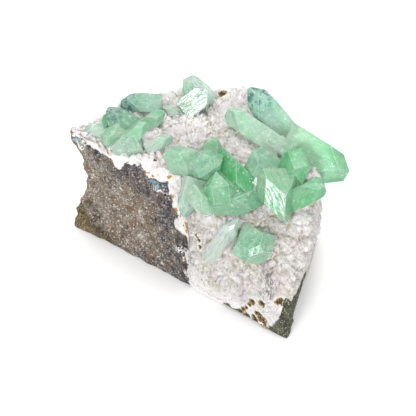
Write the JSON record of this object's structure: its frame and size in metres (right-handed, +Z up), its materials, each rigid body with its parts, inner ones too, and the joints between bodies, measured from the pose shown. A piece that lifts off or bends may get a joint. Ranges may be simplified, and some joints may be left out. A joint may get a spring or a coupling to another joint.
{
  "type": "apophyllite on mordenite mineral specimen",
  "caption": "Hand-sized mineral specimen: a block of grey-brown basalt with a white mordenite crust over its top and front slope, and blocky see-through green apophyllite crystals on the crust.",
  "frame": {"origin": "middle of the flat base that the specimen rests on", "axes": "+Z up from the flat base, +X along the longest extent; the bare basalt break faces -X and -Y and the crusted slope faces -Y"},
  "size_m": [0.095, 0.0837, 0.058],
  "materials": {
    "basalt": "rough broken rock",
    "mordenite": "matte, velvety, finely lumpy",
    "apophyllite": "vitreous, see-through with milky veils"
  },
  "bodies": {
    "root": {"basalt_matrix": "basalt", "mordenite_crust": "mordenite", "apophyllite_left": "apophyllite", "apophyllite_small": "apophyllite", "apophyllite_top": "apophyllite", "apophyllite_centre": "apophyllite", "apophyllite_back_right": "apophyllite", "apophyllite_spear": "apophyllite", "apophyllite_front": "apophyllite"}
  },
  "joints": []
}
